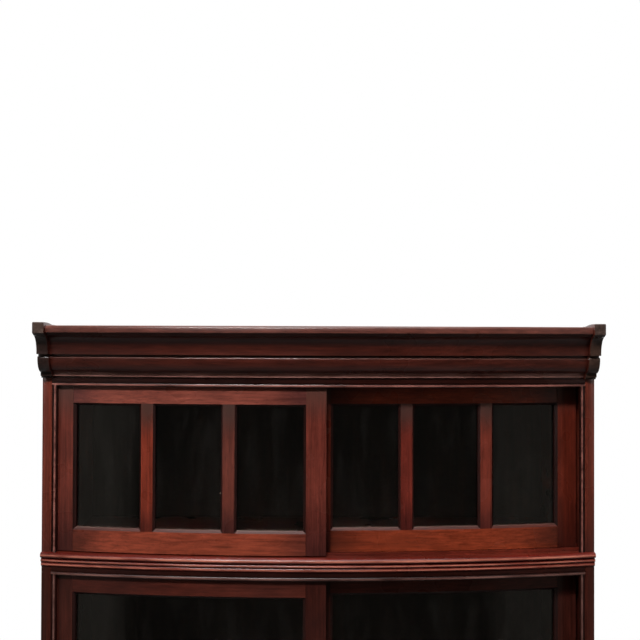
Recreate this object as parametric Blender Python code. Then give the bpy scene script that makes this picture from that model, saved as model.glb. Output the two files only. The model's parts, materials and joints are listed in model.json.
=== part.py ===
"""Bow-front sectional bookcase: four stacked glazed sections between a crown and a plinth.

Every front is an arc about one upright line behind the case, the bow axis. Each section has two
glazed doors that pass one in front of the other on curved runners, so a door turns about that same
line when it slides. All units are metres, +Z is up and the front faces -Y.
"""

from math import asin, cos, degrees, hypot, pi, sin, sqrt

import bmesh
import bpy
from mathutils import Matrix

# ---- Overall sizes
CASE_WIDTH = 0.889
CASE_DEPTH = 0.280  # back to front, at the ends of the bow
BOW_RISE = 0.041  # how far the middle of the front stands before its ends
SECTION_HEIGHTS = [0.302, 0.330, 0.356, 0.381]  # top section first
CROWN_HEIGHT = 0.0835
BASE_HEIGHT = 0.100

# ---- Boards
SIDE_THICKNESS = 0.016
TOP_THICKNESS = 0.013
BOTTOM_THICKNESS = 0.0232
BACK_THICKNESS = 0.006
BACK_REBATE = 0.007
REBATE_LAP = 0.008  # how far the back panel reaches into each side
END_THICKNESS = 0.018  # ends of the crown and of the base
DUST_BOARD = 0.012
DUST_STEP = 0.002  # top of the dust board below the top of the crown
BACK_RAIL = 0.018

# ---- Strip with a bead round the door opening
STRIP_DEPTH = 0.005
STRIP_WIDTH = 0.0085
BEAD_WIDTH = 0.0056
BEAD_PROUD = 0.0018
QUIRK = 0.0012
MITRE_LAP = 0.0001

# ---- Reeded rail under the doors
RAIL_FOOT = 0.0012
REED_HEIGHTS = [0.0058, 0.0058, 0.0092]  # bottom reed first
REED_PROUD = [0.0030, 0.0050, 0.0080]
REED_QUIRK = 0.0007
RAIL_SEAT = 0.0012  # stock left behind the quirks

# ---- Doors
DOOR_THICKNESS = 0.019
STRIP_CLEARANCE = 0.001  # between the front door and the back of the opening strip
PASSING_CLEARANCE = 0.007  # between the two doors
JAMB_CLEARANCE = 0.0025
MEETING_LAP = 0.011  # how far each closed door passes the middle of the case
STILE = 0.0361
TOP_RAIL = 0.0345
BOTTOM_RAIL = 0.0383
DOOR_ENTRY = 0.0035  # how far the top of a door stands up into its guide groove
DOOR_GAP = 0.0017  # between the bottom of a door and the bottom board
MOULD = 0.0040  # bevel round the sight edge of the glass
MUNTIN = 0.025
MUNTIN_BEVEL = 0.003
REST_OPENING = [0.003, 0.003, 0.0, 0.0]  # right doors, top section first
MUNTINS_IN_SECTION = [2, 0, 0, 0]

# ---- Glass and its groove
GLASS = 0.003
GLASS_SETBACK = 0.008
GLASS_LAP = 0.006

# ---- Curved runners under the doors and guide grooves over them
RUNNER_WIDTH = 0.0034
RUNNER_CLEARANCE = 0.0008  # on each side of a runner
GROOVE_DEPTH = 0.0035  # in the bottom edge of a door
GUIDE_CLEARANCE = 0.0006  # on each side of a door

# ---- Crown: how far each member stands forward, and the height it begins at as a share of the crown's
CROWN_FOOT = (0.0080, 0.00)
CROWN_FILLET = (0.0125, 0.036)
CROWN_OVOLO = (0.0305, 0.105)
CROWN_QUIRK = (0.0255, 0.422)
CROWN_COVE = (0.0355, 0.458)
CROWN_FASCIA = (0.0585, 0.842)
OVOLO_NOSE = 0.003  # rounding of the ovolo's top arris
COVE_LIP = 0.002
FASCIA_NECK = 0.0040  # top of the cove behind the face of the fascia
FASCIA_BEVEL = 0.0040  # bright arris along the top of the fascia
FASCIA_STOCK = 0.020
MOULDING_BACK = 0.016  # foot of the moulding's back, behind the face of the case
EAR_RISE = 0.005
EAR_LENGTH = 0.012
EAR_FALL = 0.070  # run over which an ear falls back to the moulding's height
EAR_ROUND = 0.0015
MOULDING_INSET = 0.008  # mouldings behind the front edges of their end boards

# ---- Base
PLINTH_PROJECTION = 0.016
PLINTH_FILLET = 0.012
PLINTH_HOLLOW = (0.012, 0.016)  # how deep and how tall

# ---- Fits and facets
FIT = 0.0003
CASE_STEPS = 16
DOOR_STEPS = 8
CURVE_STEPS = 6

# ---- Worked out from the sizes above
HALF_WIDTH = CASE_WIDTH / 2
FACE_RADIUS = (HALF_WIDTH**2 + BOW_RISE**2) / (2 * BOW_RISE)
FACE_END = sqrt(FACE_RADIUS**2 - HALF_WIDTH**2)  # bow axis to the ends of the face, along Y
JAMB = HALF_WIDTH - SIDE_THICKNESS
END_INSIDE = HALF_WIDTH - END_THICKNESS
BACK = CASE_DEPTH - FACE_END  # back of the case, measured from the bow axis
# The arc gains on a straight end board towards its inner face, so a moulding is set in by that too.
ARC_GAIN = sqrt(FACE_RADIUS**2 - END_INSIDE**2) - FACE_END
MOULDING_SHIFT = -MOULDING_INSET - ARC_GAIN
CROWN_NOSE = CROWN_FASCIA[0] + MOULDING_SHIFT
OVERALL_DEPTH = CASE_DEPTH + BOW_RISE + CROWN_NOSE
AXIS_Y = OVERALL_DEPTH / 2 - BACK  # puts the middle of the whole object on Y = 0
STACK_HEIGHT = BASE_HEIGHT + sum(SECTION_HEIGHTS)
DOOR_SETBACK = STRIP_DEPTH + STRIP_CLEARANCE
TRACK_PITCH = DOOR_THICKNESS + PASSING_CLEARANCE
DOOR_LIFT = BOTTOM_THICKNESS + DOOR_GAP
DOOR_DROP = TOP_THICKNESS - DOOR_ENTRY
GUIDE_DEPTH = DOOR_ENTRY + GROOVE_DEPTH  # room to lift a door off its runner

COLOURS = {
    "polished": (0.105, 0.022, 0.012),
    "rail": (0.150, 0.032, 0.014),
    "carcass": (0.120, 0.045, 0.022),
    "glass": (0.020, 0.022, 0.020),
}
FINISHES = {"polished": 0.28, "rail": 0.26, "carcass": 0.55, "glass": 0.04}


# ---------------------------------------------------------------- scene and materials


def clear_scene():
    for old in list(bpy.data.objects):
        bpy.data.objects.remove(old)


def make_collection(name):
    collection = bpy.data.collections.new(name)
    bpy.context.scene.collection.children.link(collection)
    return collection


def make_material(name, finish):
    material = bpy.data.materials.new(name)
    material.use_nodes = True
    shader = material.node_tree.nodes["Principled BSDF"]
    shader.inputs["Base Color"].default_value = (*COLOURS[finish], 1)
    shader.inputs["Roughness"].default_value = FINISHES[finish]
    shader.inputs["Metallic"].default_value = 0
    if finish == "glass":
        shader.inputs["Alpha"].default_value = 0.35
    return material


# ---------------------------------------------------------------- making solids


def plan(x, forward):
    """Point in plan, measured from the bow axis: x along the case, forward out from the face."""
    angle = asin(x / FACE_RADIUS)
    radius = FACE_RADIUS + forward
    return radius * sin(angle), -radius * cos(angle)


def arc(centre, radii, start, end, steps=CURVE_STEPS):
    """Points along a round stretch of an outline; angles in degrees."""
    points = []
    for i in range(steps + 1):
        angle = (start + (end - start) * i / steps) * pi / 180
        points.append((centre[0] + radii[0] * cos(angle), centre[1] + radii[1] * sin(angle)))
    return points


def oblong(low, high):
    """Corners of an upright oblong, from two opposite ones."""
    return [low, (high[0], low[1]), high, (low[0], high[1])]


def swept(section, start, end, steps):
    """Turn a closed section of (forward, height) points about the bow axis, between two angles."""
    bm = bmesh.new()
    ring = []
    for forward, height in section:
        radius = FACE_RADIUS + forward
        ring.append(bm.verts.new((radius * sin(start), -radius * cos(start), height)))
    bm.faces.new(ring)
    geometry = bm.verts[:] + bm.edges[:] + bm.faces[:]
    bmesh.ops.spin(bm, geom=geometry, axis=(0, 0, 1), cent=(0, 0, 0), angle=end - start, steps=steps)
    bmesh.ops.recalc_face_normals(bm, faces=bm.faces)
    return bm


def trim(bm, point, outward):
    """Saw a solid off at a plane and close the cut."""
    geometry = bm.verts[:] + bm.edges[:] + bm.faces[:]
    cut = bmesh.ops.bisect_plane(
        bm, geom=geometry, dist=1e-7, plane_co=point, plane_no=outward, clear_outer=True
    )
    edges = [item for item in cut["geom_cut"] if isinstance(item, bmesh.types.BMEdge)]
    bmesh.ops.holes_fill(bm, edges=edges)
    bmesh.ops.recalc_face_normals(bm, faces=bm.faces)


def bowed(section, half_length):
    """A bowed bar of one section, sawn off square to the case at both ends."""
    widest = FACE_RADIUS + min(forward for forward, height in section)
    reach = asin(half_length / widest) * 1.01
    bm = swept(section, -reach, reach, CASE_STEPS)
    trim(bm, (half_length, 0, 0), (1, 0, 0))
    trim(bm, (-half_length, 0, 0), (-1, 0, 0))
    return bm


def bowed_board(section, half_length, back):
    """A bowed bar that runs back to a straight rear edge."""
    bm = bowed(section, half_length)
    trim(bm, (0, back, 0), (0, 1, 0))
    return bm


def extruded(points, direction):
    """Push a flat outline, given as 3D points, along one direction."""
    bm = bmesh.new()
    face = bm.faces.new([bm.verts.new(point) for point in points])
    grown = bmesh.ops.extrude_face_region(bm, geom=[face])
    moved = [item for item in grown["geom"] if isinstance(item, bmesh.types.BMVert)]
    bmesh.ops.translate(bm, verts=moved, vec=direction)
    bmesh.ops.recalc_face_normals(bm, faces=bm.faces)
    return bm


def upright(outline, bottom, top):
    """A plan outline raised between two heights."""
    return extruded([(x, y, bottom) for x, y in outline], (0, 0, top - bottom))


def standing_board(outline, inner, outer):
    """An outline of (forward, height) in the plane of an end board, between two places in x."""
    points = [(inner, -FACE_END - forward, height) for forward, height in outline]
    return extruded(points, (outer - inner, 0, 0))


def block(low, high):
    """A plain square-edged piece between two opposite corners."""
    size = [b - a for a, b in zip(low, high)]
    middle = [(a + b) / 2 for a, b in zip(low, high)]
    bm = bmesh.new()
    bmesh.ops.create_cube(bm, size=1)
    bmesh.ops.scale(bm, vec=size, verts=bm.verts)
    bmesh.ops.translate(bm, vec=middle, verts=bm.verts)
    return bm


def mirrored(bm):
    """The same piece for the other end of the case."""
    bmesh.ops.scale(bm, vec=(-1, 1, 1), verts=bm.verts)
    bmesh.ops.recalc_face_normals(bm, faces=bm.faces)
    return bm


# ---------------------------------------------------------------- objects


def place(name, bm, finish, parent, smooth=False):
    """Make a solid into a named object whose origin lies on the bow axis."""
    mesh = bpy.data.meshes.new(name)
    bm.to_mesh(mesh)
    bm.free()
    if smooth:
        mesh.shade_smooth()
        mesh.set_sharp_from_angle(angle=pi / 6)
    mesh.materials.append(make_material(name, finish))
    piece = bpy.data.objects.new(name, mesh)
    PARTS.objects.link(piece)
    piece.parent = parent
    return piece


def tool(name, bm, parent):
    """A cutter, or a length of stock that is joined to a piece."""
    mesh = bpy.data.meshes.new(name)
    bm.to_mesh(mesh)
    bm.free()
    piece = bpy.data.objects.new(name, mesh)
    CUTTERS.objects.link(piece)
    piece.parent = parent
    piece.hide_render = True
    piece.display_type = "WIRE"
    return piece


def combine(piece, other, operation):
    modifier = piece.modifiers.new(operation.lower(), "BOOLEAN")
    modifier.operation = operation
    modifier.solver = "EXACT"
    modifier.object = other


def apply_modifiers(piece):
    """Keep what the modifiers make as the piece's own mesh."""
    bpy.context.view_layer.update()
    graph = bpy.context.evaluated_depsgraph_get()
    finished = bpy.data.meshes.new_from_object(piece.evaluated_get(graph))
    piece.modifiers.clear()
    piece.data = finished


def unit_origin(name, height, turn=0.0, parent=None):
    """An empty on the bow axis that carries the pieces of one unit, or of one door."""
    empty = bpy.data.objects.new(name, None)
    PARTS.objects.link(empty)
    empty.parent = parent
    empty.location = (0, 0, height) if parent else (0, AXIS_Y, height)
    empty.rotation_euler.z = turn
    return empty


# ---------------------------------------------------------------- carcass of a section


def make_sides(prefix, height, unit):
    """Side boards: front edge planed to the bow, rebate at the back for the panel."""
    rebate_front = BACK - BACK_REBATE
    outline = [
        plan(HALF_WIDTH, 0),
        (HALF_WIDTH, BACK),
        (JAMB + REBATE_LAP, BACK),
        (JAMB + REBATE_LAP, rebate_front),
        (JAMB, rebate_front),
        plan(JAMB, 0),
    ]
    place(f"{prefix}_side_right", upright(outline, 0, height - FIT), "polished", unit)
    left = mirrored(upright(outline, 0, height - FIT))
    place(f"{prefix}_side_left", left, "polished", unit)


def door_band(track):
    """How far forward the back and the face of a door lie; track 0 is the front one."""
    face = -DOOR_SETBACK - track * TRACK_PITCH
    return face - DOOR_THICKNESS, face


def guide_band(track):
    """Back and front walls of the groove that a door's top edge runs in."""
    back, face = door_band(track)
    return back - GUIDE_CLEARANCE, face + GUIDE_CLEARANCE


def make_top_board(prefix, height, unit):
    """Top board, ploughed along the bow: a guide groove for the rear door, a rebate for the front one."""
    top = height - FIT
    under = height - TOP_THICKNESS
    ceiling = under + GUIDE_DEPTH
    front = -STRIP_DEPTH - FIT
    deepest = -CASE_DEPTH - BOW_RISE
    back, face = guide_band(1)
    section = [(front, top), (deepest, top), (deepest, under)]
    section += [(back, under), (back, ceiling), (face, ceiling), (face, under)]
    back, face = guide_band(0)
    section += [(back, under), (back, ceiling), (front, ceiling)]
    bm = bowed_board(section, JAMB - FIT, BACK - BACK_REBATE - FIT)
    place(f"{prefix}_top_board", bm, "carcass", unit)


def make_bottom_board(prefix, unit):
    """Bottom board with a narrow curved runner standing up under each door."""
    deepest = -CASE_DEPTH - BOW_RISE
    section = [(-FIT, 0), (deepest, 0), (deepest, BOTTOM_THICKNESS)]
    runner_top = DOOR_LIFT + GROOVE_DEPTH - FIT
    for track in (1, 0):
        middle = sum(door_band(track)) / 2
        back = middle - RUNNER_WIDTH / 2
        face = middle + RUNNER_WIDTH / 2
        section += [(back, BOTTOM_THICKNESS), (back, runner_top)]
        section += [(face, runner_top), (face, BOTTOM_THICKNESS)]
    section.append((-FIT, BOTTOM_THICKNESS))
    bm = bowed_board(section, JAMB - FIT, BACK - BACK_REBATE - FIT)
    place(f"{prefix}_bottom_board", bm, "carcass", unit)


def make_back_panel(prefix, height, unit):
    """Thin panel let into the rebates of the sides, over the back edges of the boards."""
    reach = JAMB + REBATE_LAP - FIT
    front = BACK - BACK_REBATE
    bm = block((-reach, front, 0), (reach, front + BACK_THICKNESS, height - FIT))
    place(f"{prefix}_back_panel", bm, "carcass", unit)


def strip_section(width):
    """Section of the opening strip, (forward, height over its beaded edge), bead at the bottom."""
    bead = arc((0, BEAD_WIDTH / 2), (BEAD_PROUD, BEAD_WIDTH / 2), -90, 90)
    quirk = [(-QUIRK, BEAD_WIDTH), (-QUIRK, BEAD_WIDTH + QUIRK), (0, BEAD_WIDTH + QUIRK)]
    return [(-STRIP_DEPTH, 0)] + bead + quirk + [(0, width), (-STRIP_DEPTH, width)]


def make_bead_strip(prefix, height, unit):
    """Beaded strip round three sides of the opening, mitred at its two corners."""
    under = height - TOP_THICKNESS
    head_width = TOP_THICKNESS - FIT
    head = [(forward, under + z) for forward, z in strip_section(head_width)]
    bm = bowed(head, JAMB - FIT)
    piece = place(f"{prefix}_bead_strip", bm, "polished", unit, smooth=True)
    corner = JAMB - STRIP_WIDTH
    bottom = rail_top() + FIT
    for side in (1, -1):
        outline = []
        for forward, inward in strip_section(STRIP_WIDTH - FIT):
            outline.append(plan(corner + inward, forward))
        leg = upright(outline, bottom, under + STRIP_WIDTH)
        trim(leg, (corner - MITRE_LAP, 0, under), (-1, 0, 1))
        if side < 0:
            leg = mirrored(leg)
        combine(piece, tool(f"{prefix}_bead_leg", leg, unit), "UNION")
    apply_modifiers(piece)


def rail_top():
    return RAIL_FOOT + sum(REED_HEIGHTS) + REED_QUIRK * (len(REED_HEIGHTS) - 1)


def make_reeded_rail(prefix, unit):
    """Rail with three reeds, planted across the board and the front edges of the sides."""
    section = [(FIT, RAIL_FOOT)]
    bottom = RAIL_FOOT
    for reed, proud in zip(REED_HEIGHTS, REED_PROUD):
        section += arc((RAIL_SEAT, bottom + reed / 2), (proud - RAIL_SEAT, reed / 2), -90, 90, 5)
        bottom += reed + REED_QUIRK
    section.append((FIT, rail_top()))
    bm = bowed(section, HALF_WIDTH)
    place(f"{prefix}_reeded_rail", bm, "rail", unit, smooth=True)


# ---------------------------------------------------------------- doors


def door_angles(track):
    """Angles of a closed left door's outer and meeting edges about the bow axis."""
    outer = asin((JAMB - JAMB_CLEARANCE) / (FACE_RADIUS + door_band(track)[1]))
    meeting = asin(MEETING_LAP / (FACE_RADIUS + door_band(track)[1]))
    return -outer, meeting


def sight(track, height):
    """Edges of the glass that shows: two angles and two heights."""
    outer, meeting = door_angles(track)
    stile = STILE / (FACE_RADIUS + door_band(track)[1])
    return outer + stile, meeting - stile, DOOR_LIFT + BOTTOM_RAIL, height - DOOR_DROP - TOP_RAIL


def splay(bm, radius, spread):
    """Widen the outermost ring of a swept block all round, for a splayed cut."""
    middle = sum(v.co.z for v in bm.verts) / len(bm.verts)
    angles = [asin(v.co.x / hypot(v.co.x, v.co.y)) for v in bm.verts]
    ends = {min(angles): -1, max(angles): 1}
    for vertex, angle in zip(bm.verts, angles):
        if hypot(vertex.co.x, vertex.co.y) < radius - FIT:
            continue
        vertex.co.z += spread if vertex.co.z > middle else -spread
        for limit, sign in ends.items():
            if abs(angle - limit) < 1e-5:
                turn = Matrix.Rotation(sign * spread / radius, 3, "Z")
                vertex.co = turn @ vertex.co


def make_door_frame(prefix, track, height, carrier):
    """Stiles and rails glued up: a bowed plate with a window, a glass groove and a runner groove."""
    back, face = door_band(track)
    start, end = door_angles(track)
    top = height - DOOR_DROP
    plate = swept(oblong((back, DOOR_LIFT), (face, top)), start, end, DOOR_STEPS)
    piece = place(f"{prefix}_frame", plate, "rail", carrier)
    seen = sight(track, height)
    window = oblong((back - MOULD, seen[2]), (face + MOULD, seen[3]))
    cutter = swept(window, seen[0], seen[1], DOOR_STEPS)
    combine(piece, tool(f"{prefix}_window", cutter, carrier), "DIFFERENCE")
    edge = MOULD / FACE_RADIUS
    bevel = oblong((face - 2 * MOULD, seen[2] + MOULD), (face + MOULD, seen[3] - MOULD))
    cutter = swept(bevel, seen[0] + edge, seen[1] - edge, DOOR_STEPS)
    splay(cutter, FACE_RADIUS + face + MOULD, 3 * MOULD)
    combine(piece, tool(f"{prefix}_window_bevel", cutter, carrier), "DIFFERENCE")
    lap = GLASS_LAP + FIT
    lap_angle = lap / FACE_RADIUS
    glass_face = face - GLASS_SETBACK
    slot = oblong((glass_face - GLASS - FIT, seen[2] - lap), (glass_face + FIT, seen[3] + lap))
    cutter = swept(slot, seen[0] - lap_angle, seen[1] + lap_angle, DOOR_STEPS)
    combine(piece, tool(f"{prefix}_glass_groove", cutter, carrier), "DIFFERENCE")
    middle = (back + face) / 2
    half = RUNNER_WIDTH / 2 + RUNNER_CLEARANCE
    groove = oblong((middle - half, DOOR_LIFT - MOULD), (middle + half, DOOR_LIFT + GROOVE_DEPTH))
    past = STILE / FACE_RADIUS
    cutter = swept(groove, start - past, end + past, DOOR_STEPS + 2)
    combine(piece, tool(f"{prefix}_runner_groove", cutter, carrier), "DIFFERENCE")
    apply_modifiers(piece)


def make_door_glass(prefix, track, height, carrier):
    """Bent pane, held in the groove of the frame all round."""
    face = door_band(track)[1] - GLASS_SETBACK
    seen = sight(track, height)
    lap = GLASS_LAP / FACE_RADIUS
    section = oblong((face - GLASS, seen[2] - GLASS_LAP), (face, seen[3] + GLASS_LAP))
    bm = swept(section, seen[0] - lap, seen[1] + lap, DOOR_STEPS)
    place(f"{prefix}_glass", bm, "glass", carrier)


def make_muntins(prefix, track, height, count, carrier):
    """Glazing bars in front of the pane, evenly spaced between the stiles."""
    face = door_band(track)[1]
    radius = FACE_RADIUS + face
    start, end, bottom, top = sight(track, height)
    bar = MUNTIN / radius
    pane = (end - start - count * bar) / (count + 1)
    depth = GLASS_SETBACK - FIT
    for i in range(count):
        middle = start + pane * (i + 1) + bar * (i + 0.5)
        edge = MUNTIN / 2
        outline = [
            (-edge, depth),
            (edge, depth),
            (edge, MUNTIN_BEVEL),
            (edge - MUNTIN_BEVEL, 0),
            (-edge + MUNTIN_BEVEL, 0),
            (-edge, MUNTIN_BEVEL),
        ]
        bm = upright([(x, y - radius) for x, y in outline], bottom + FIT, top - FIT)
        bmesh.ops.rotate(bm, verts=bm.verts, cent=(0, 0, 0), matrix=Matrix.Rotation(middle, 3, "Z"))
        place(f"{prefix}_muntin_{i + 1}", bm, "polished", carrier)


def make_door(prefix, side, track, height, opening, muntins, unit):
    """One door on an empty on the bow axis. A right door is the left one's mirror image."""
    turn = -opening / FACE_RADIUS if side == "right" else 0.0
    name = f"{prefix}_{side}_door"
    carrier = unit_origin(f"{name}_axis", 0, turn, unit)
    before = set(PARTS.objects)
    make_door_frame(name, track, height, carrier)
    make_door_glass(name, track, height, carrier)
    make_muntins(name, track, height, muntins, carrier)
    if side == "right":
        for piece in set(PARTS.objects) - before:
            bm = bmesh.new()
            bm.from_mesh(piece.data)
            mirrored(bm).to_mesh(piece.data)
            bm.free()


# ---------------------------------------------------------------- crown and base


def crown_profile():
    """Front of the crown from its foot to under the fascia: fillet, ovolo, quirk and cove."""
    foot, fillet, ovolo, quirk, cove, fascia = [
        (forward, share * CROWN_HEIGHT)
        for forward, share in (
            CROWN_FOOT,
            CROWN_FILLET,
            CROWN_OVOLO,
            CROWN_QUIRK,
            CROWN_COVE,
            CROWN_FASCIA,
        )
    ]
    points = [foot, (foot[0], fillet[1]), fillet, (fillet[0], ovolo[1])]
    # The ovolo is an ellipse that begins a little inside the fillet's face.
    spring = (fillet[0] - 0.002, quirk[1] - OVOLO_NOSE)
    points += arc(spring, (ovolo[0] - spring[0], spring[1] - ovolo[1]), -84, 0)
    points += arc((ovolo[0] - OVOLO_NOSE, spring[1]), (OVOLO_NOSE, OVOLO_NOSE), 22, 90, 3)
    points += [quirk, (quirk[0], cove[1]), cove]
    neck = (fascia[0] - FASCIA_NECK, fascia[1] - COVE_LIP)
    lip = cove[1] + COVE_LIP
    points += arc((neck[0], lip), (neck[0] - cove[0], neck[1] - lip), 180, 95)
    return points


def crown_end_outline():
    """End board of the crown: the moulding's profile under a square ear that falls to the rear."""
    front, bottom = CROWN_FASCIA[0], CROWN_FASCIA[1] * CROWN_HEIGHT
    top = CROWN_HEIGHT + EAR_RISE
    fall = front - EAR_LENGTH
    return crown_profile() + [
        (front - FASCIA_NECK, bottom),
        (front - EAR_ROUND, bottom),
        (front, bottom + EAR_ROUND),
        (front, top - EAR_ROUND),
        (front - EAR_ROUND, top),
        (fall, top),
        (fall - EAR_FALL / 4, top - EAR_RISE * 0.2),
        (fall - EAR_FALL / 2, top - EAR_RISE * 0.7),
        (fall - EAR_FALL, CROWN_HEIGHT),
        (-CASE_DEPTH, CROWN_HEIGHT),
        (-CASE_DEPTH, 0),
    ]


def crown_moulding_section():
    """Bowed moulding between the end boards, fascia at the top, its back worked off behind the cove."""
    section = [(forward + MOULDING_SHIFT, height) for forward, height in crown_profile()]
    face = CROWN_NOSE
    neck = face - FASCIA_NECK
    bottom = CROWN_FASCIA[1] * CROWN_HEIGHT
    cove = CROWN_COVE[0] + MOULDING_SHIFT, CROWN_COVE[1] * CROWN_HEIGHT
    section += [
        (neck, bottom + COVE_LIP),
        (face, bottom + COVE_LIP),
        (face, CROWN_HEIGHT - FASCIA_BEVEL),
        (face - FASCIA_BEVEL * 0.8, CROWN_HEIGHT),
        (face - FASCIA_STOCK, CROWN_HEIGHT),
        (face - FASCIA_STOCK, CROWN_HEIGHT - DUST_STEP - DUST_BOARD - FIT),
        (cove[0] - FASCIA_STOCK / 2, cove[1] + FASCIA_STOCK / 4),
        (-MOULDING_BACK, cove[1] / 2),
        (-MOULDING_BACK, 0),
    ]
    return section


def make_crown(unit):
    outline = crown_end_outline()
    for side, sign in (("right", 1), ("left", -1)):
        board = standing_board(outline, END_INSIDE * sign, HALF_WIDTH * sign)
        place(f"crown_end_{side}", board, "polished", unit, smooth=True)
    moulding = bowed(crown_moulding_section(), END_INSIDE - FIT)
    place("crown_moulding", moulding, "polished", unit, smooth=True)
    front = CROWN_NOSE - FASCIA_STOCK - FIT
    top = CROWN_HEIGHT - DUST_STEP
    section = oblong((-CASE_DEPTH - BOW_RISE, top - DUST_BOARD), (front, top))
    board = bowed_board(section, END_INSIDE - FIT, BACK)
    place("crown_dust_board", board, "carcass", unit)
    low = (-END_INSIDE + FIT, BACK - BACK_RAIL, 0)
    high = (END_INSIDE - FIT, BACK, top - DUST_BOARD - FIT)
    place("crown_back_rail", block(low, high), "carcass", unit)


def plinth_profile(projection):
    """Front of the base from the floor up: plain board, then a hollow up to a fillet."""
    depth, tall = PLINTH_HOLLOW
    fillet = BASE_HEIGHT - PLINTH_FILLET
    points = [(projection, 0), (projection, fillet - tall - 0.002)]
    points += arc((projection, fillet), PLINTH_HOLLOW, -90, -180)
    points += [(projection - depth, BASE_HEIGHT - FIT)]
    return points


def make_base(unit):
    outline = plinth_profile(PLINTH_PROJECTION)
    outline += [(-CASE_DEPTH, BASE_HEIGHT - FIT), (-CASE_DEPTH, 0)]
    for side, sign in (("right", 1), ("left", -1)):
        board = standing_board(outline, END_INSIDE * sign, HALF_WIDTH * sign)
        place(f"base_end_{side}", board, "polished", unit, smooth=True)
    shift = ARC_GAIN
    section = [(forward - shift, height) for forward, height in plinth_profile(PLINTH_PROJECTION)]
    section += [(-END_THICKNESS, BASE_HEIGHT - FIT), (-END_THICKNESS, 0)]
    place("base_front", bowed(section, END_INSIDE - FIT), "polished", unit, smooth=True)
    top = BASE_HEIGHT - FIT
    section = oblong((-CASE_DEPTH - BOW_RISE, top - SIDE_THICKNESS), (-END_THICKNESS - FIT, top))
    board = bowed_board(section, END_INSIDE - FIT, BACK)
    place("base_top_board", board, "carcass", unit)
    low = (-END_INSIDE + FIT, BACK - BACK_RAIL, 0)
    high = (END_INSIDE - FIT, BACK, top - SIDE_THICKNESS - FIT)
    place("base_back_rail", block(low, high), "carcass", unit)


# ---------------------------------------------------------------- the whole case


def make_section(number, height, bottom):
    prefix = f"section_{number}"
    unit = unit_origin(prefix, bottom)
    make_sides(prefix, height, unit)
    make_top_board(prefix, height, unit)
    make_bottom_board(prefix, unit)
    make_back_panel(prefix, height, unit)
    make_bead_strip(prefix, height, unit)
    make_reeded_rail(prefix, unit)
    opening = REST_OPENING[number - 1]
    muntins = MUNTINS_IN_SECTION[number - 1]
    for side, track in (("left", 0), ("right", 1)):
        make_door(prefix, side, track, height, opening, muntins, unit)


def door_travel(track):
    """How far a closed door can turn, in degrees, before it meets the far jamb."""
    outer, meeting = door_angles(track)
    return degrees(-outer - meeting)


clear_scene()
PARTS = make_collection("bow_front_bookcase")
CUTTERS = make_collection("cutters")
make_base(unit_origin("base", 0))
level = STACK_HEIGHT
for index, section_height in enumerate(SECTION_HEIGHTS):
    level -= section_height
    make_section(index + 1, section_height, level)
make_crown(unit_origin("crown", STACK_HEIGHT))
for name, track_number in (("front", 0), ("rear", 1)):
    print(f"travel on the {name} track: {door_travel(track_number):.4f} degrees")
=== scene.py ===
"""Looks for the bow-front sectional bookcase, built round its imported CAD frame.

Every front of the case is an arc about one upright line behind it, the bow axis. Pieces that follow
the bow are made straight, or as one upright section, and turned about that axis.
"""

import json
from math import asin, cos, hypot, pi, radians, sin, sqrt

import bmesh
import bpy
from mathutils import Matrix, Vector


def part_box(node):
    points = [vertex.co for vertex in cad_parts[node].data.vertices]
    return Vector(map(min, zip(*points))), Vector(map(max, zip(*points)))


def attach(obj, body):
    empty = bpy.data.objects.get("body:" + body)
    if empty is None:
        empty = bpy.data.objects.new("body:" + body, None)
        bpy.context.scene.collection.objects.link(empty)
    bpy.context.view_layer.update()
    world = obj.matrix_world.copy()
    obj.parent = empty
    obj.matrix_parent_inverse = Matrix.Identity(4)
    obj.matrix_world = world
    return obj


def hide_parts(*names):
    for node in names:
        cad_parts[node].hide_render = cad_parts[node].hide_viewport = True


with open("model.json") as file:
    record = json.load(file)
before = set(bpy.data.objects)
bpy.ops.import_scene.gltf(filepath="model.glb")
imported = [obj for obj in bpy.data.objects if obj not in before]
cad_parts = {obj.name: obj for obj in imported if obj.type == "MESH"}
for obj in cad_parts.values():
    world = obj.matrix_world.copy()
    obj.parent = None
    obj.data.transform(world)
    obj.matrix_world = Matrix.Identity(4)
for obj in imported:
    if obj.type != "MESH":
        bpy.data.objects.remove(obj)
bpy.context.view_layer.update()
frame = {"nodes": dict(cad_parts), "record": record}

# ---------------------------------------------------------------- plinth
# The plinth is a box of mahogany boards that the stack stands on: two square-cut ends, with a bowed
# front between them. Front and ends carry one hollow moulding near their top edge, worked with a
# plane, and the boards are glued to blocks behind. The finish is a red-brown stain under polish.

bow_axis_y = frame["record"]["behaviour"]["joints"][0]["pos_m"][1]
side_low, side_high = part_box("section_1_side_right")
half_width = side_high.x
jamb = side_low.x
face_radius = hypot(jamb, bow_axis_y - side_low.y)
face_end = sqrt(face_radius**2 - half_width**2)
case_back = side_high.y
front_line = bow_axis_y - face_end
board_back = -(case_back - front_line)
hair = 1e-6
seam = 0.0003


def ramp(tree, value, start=0.0, end=1.0, low=0.0, high=1.0, smooth=False):
    """Bring a value that runs from start to end to one that runs from low to high."""
    spread = tree.nodes.new("ShaderNodeMapRange")
    if smooth:
        spread.interpolation_type = "SMOOTHSTEP"
    limits = {"From Min": start, "From Max": end, "To Min": low, "To Max": high}
    for socket, limit in limits.items():
        spread.inputs[socket].default_value = limit
    tree.links.new(value, spread.inputs["Value"])
    return spread.outputs["Result"]


def reckon(tree, operation, first, second):
    """Add, multiply or otherwise join two values of a material."""
    step = tree.nodes.new("ShaderNodeMath")
    step.operation = operation
    tree.links.new(first, step.inputs[0])
    tree.links.new(second, step.inputs[1])
    return step.outputs["Value"]


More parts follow.
